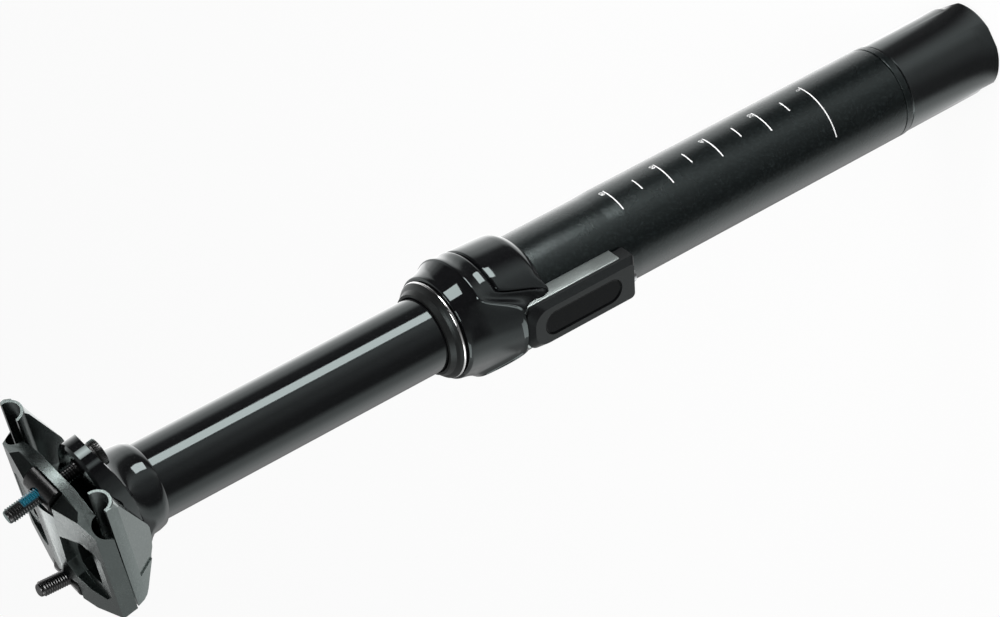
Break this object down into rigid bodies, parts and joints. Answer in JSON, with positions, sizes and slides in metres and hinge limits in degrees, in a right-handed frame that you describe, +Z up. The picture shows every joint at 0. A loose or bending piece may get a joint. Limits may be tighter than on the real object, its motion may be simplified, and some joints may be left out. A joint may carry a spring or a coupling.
{
  "type": "dropper seatpost",
  "caption": "Telescopic bicycle seatpost with a side actuator pod and a two-bolt rail clamp: the post drops into its tube, the clamp tilts and the release lever turns.",
  "frame": {"origin": "centre of the bottom cap's end face", "axes": "+Z up the post, +X toward the saddle nose, +Y to the left"},
  "size_m": [0.0605, 0.0522, 0.3709],
  "materials": {
    "tube_black": "matte black anodised, fine blasted",
    "cap_black": "satin black anodised",
    "gloss_black": "gloss black",
    "stanchion_black": "polished black anodised",
    "clamp_grey": "blasted dark grey",
    "bolt_black": "black oxide",
    "cover_black": "satin black",
    "insert_black": "smooth black",
    "rubber": "matte",
    "bright_ring": "bright",
    "steel": "ground",
    "alloy": "machined",
    "brass": "machined",
    "bushing": "moulded"
  },
  "bodies": {
    "outer_post": {"lower_tube": "tube_black", "tube_ring": "tube_black", "bottom_cap": "cap_black", "rod_foot": "alloy", "rod_nut": "steel", "bumper": "rubber", "piston_rod": "steel", "piston": "brass", "seal_collar": "gloss_black", "pod_cover": "cover_black", "cover_insert": "insert_black", "cover_screw": "steel", "inlet_ferrule": "steel", "lever_pin": "steel", "wiper_seal": "rubber", "wiper_ring": "bright_ring", "upper_bushing": "bushing", "release_spring": "steel"},
    "inner_post": {"stanchion": "stanchion_black", "saddle_head": "gloss_black", "lower_bushing": "bushing", "guide_keys": "brass", "stanchion_foot": "alloy", "cartridge_body": "alloy", "cartridge_gland": "alloy", "cartridge_plug": "alloy"},
    "release_slide": {"release_rod": "steel", "release_yoke": "alloy", "valve_pin": "steel"},
    "lever": {"release_lever": "steel", "cable_anchor": "brass"},
    "rail_clamp": {"lower_cradle": "clamp_grey", "upper_clamp": "clamp_grey"},
    "rear_bolt_set": {"rear_bolt": "bolt_black", "rear_washer": "bolt_black"},
    "front_bolt_set": {"front_bolt": "bolt_black", "front_washer": "bolt_black"},
    "rear_barrel": {"rear_nut": "bolt_black"},
    "front_barrel": {"front_nut": "bolt_black"}
  },
  "joints": [
    {"name": "post_drop", "type": "slide", "parent": "outer_post", "child": "inner_post", "axis": [0, 0, 1], "range_m": [-0.1, 0], "stiffness_N_per_m": 500, "springref_m": 0.4},
    {"name": "release_lift", "type": "slide", "parent": "outer_post", "child": "release_slide", "axis": [0, 0, 1], "range_m": [0, 0.00153], "stiffness_N_per_m": 1200, "springref_m": -0.003, "deforming": ["release_spring"]},
    {"name": "lever_turn", "type": "hinge", "parent": "outer_post", "child": "lever", "pos_m": [-0.00239, 0.01703, 0.1899], "axis": [-0.9903, -0.1392, 0], "range_deg": [0, 24.1]},
    {"name": "clamp_tilt", "type": "hinge", "parent": "inner_post", "child": "rail_clamp", "pos_m": [0, 0, 0.3483], "axis": [0, 1, 0], "range_deg": [-8, 8]},
    {"name": "rear_bolt_swing", "type": "hinge", "parent": "inner_post", "child": "rear_bolt_set", "pos_m": [-0.02269, 0, 0.33861], "axis": [0, 1, 0], "range_deg": [-1.88, 1.88]},
    {"name": "front_bolt_swing", "type": "hinge", "parent": "inner_post", "child": "front_bolt_set", "pos_m": [0.02269, 0, 0.32896], "axis": [0, 1, 0], "range_deg": [-0.76, 0.76]},
    {"name": "rear_nut_turn", "type": "hinge", "parent": "rail_clamp", "child": "rear_barrel", "pos_m": [-0.01865, 0, 0.35676], "axis": [0, 1, 0], "range_deg": [-6.32, 6.32]},
    {"name": "front_nut_turn", "type": "hinge", "parent": "rail_clamp", "child": "front_barrel", "pos_m": [0.02146, 0, 0.34824], "axis": [0, 1, 0], "range_deg": [-8.76, 8.76]}
  ],
  "couplings": [
    {"joint": "lever_turn", "follows": "release_lift", "rad_per_m": 274.63},
    {"joint": "rear_bolt_swing", "follows": "clamp_tilt", "ratio": 0.222},
    {"joint": "front_bolt_swing", "follows": "clamp_tilt", "ratio": -0.0827},
    {"joint": "rear_nut_turn", "follows": "clamp_tilt", "ratio": -0.778},
    {"joint": "front_nut_turn", "follows": "clamp_tilt", "ratio": -1.0827}
  ]
}
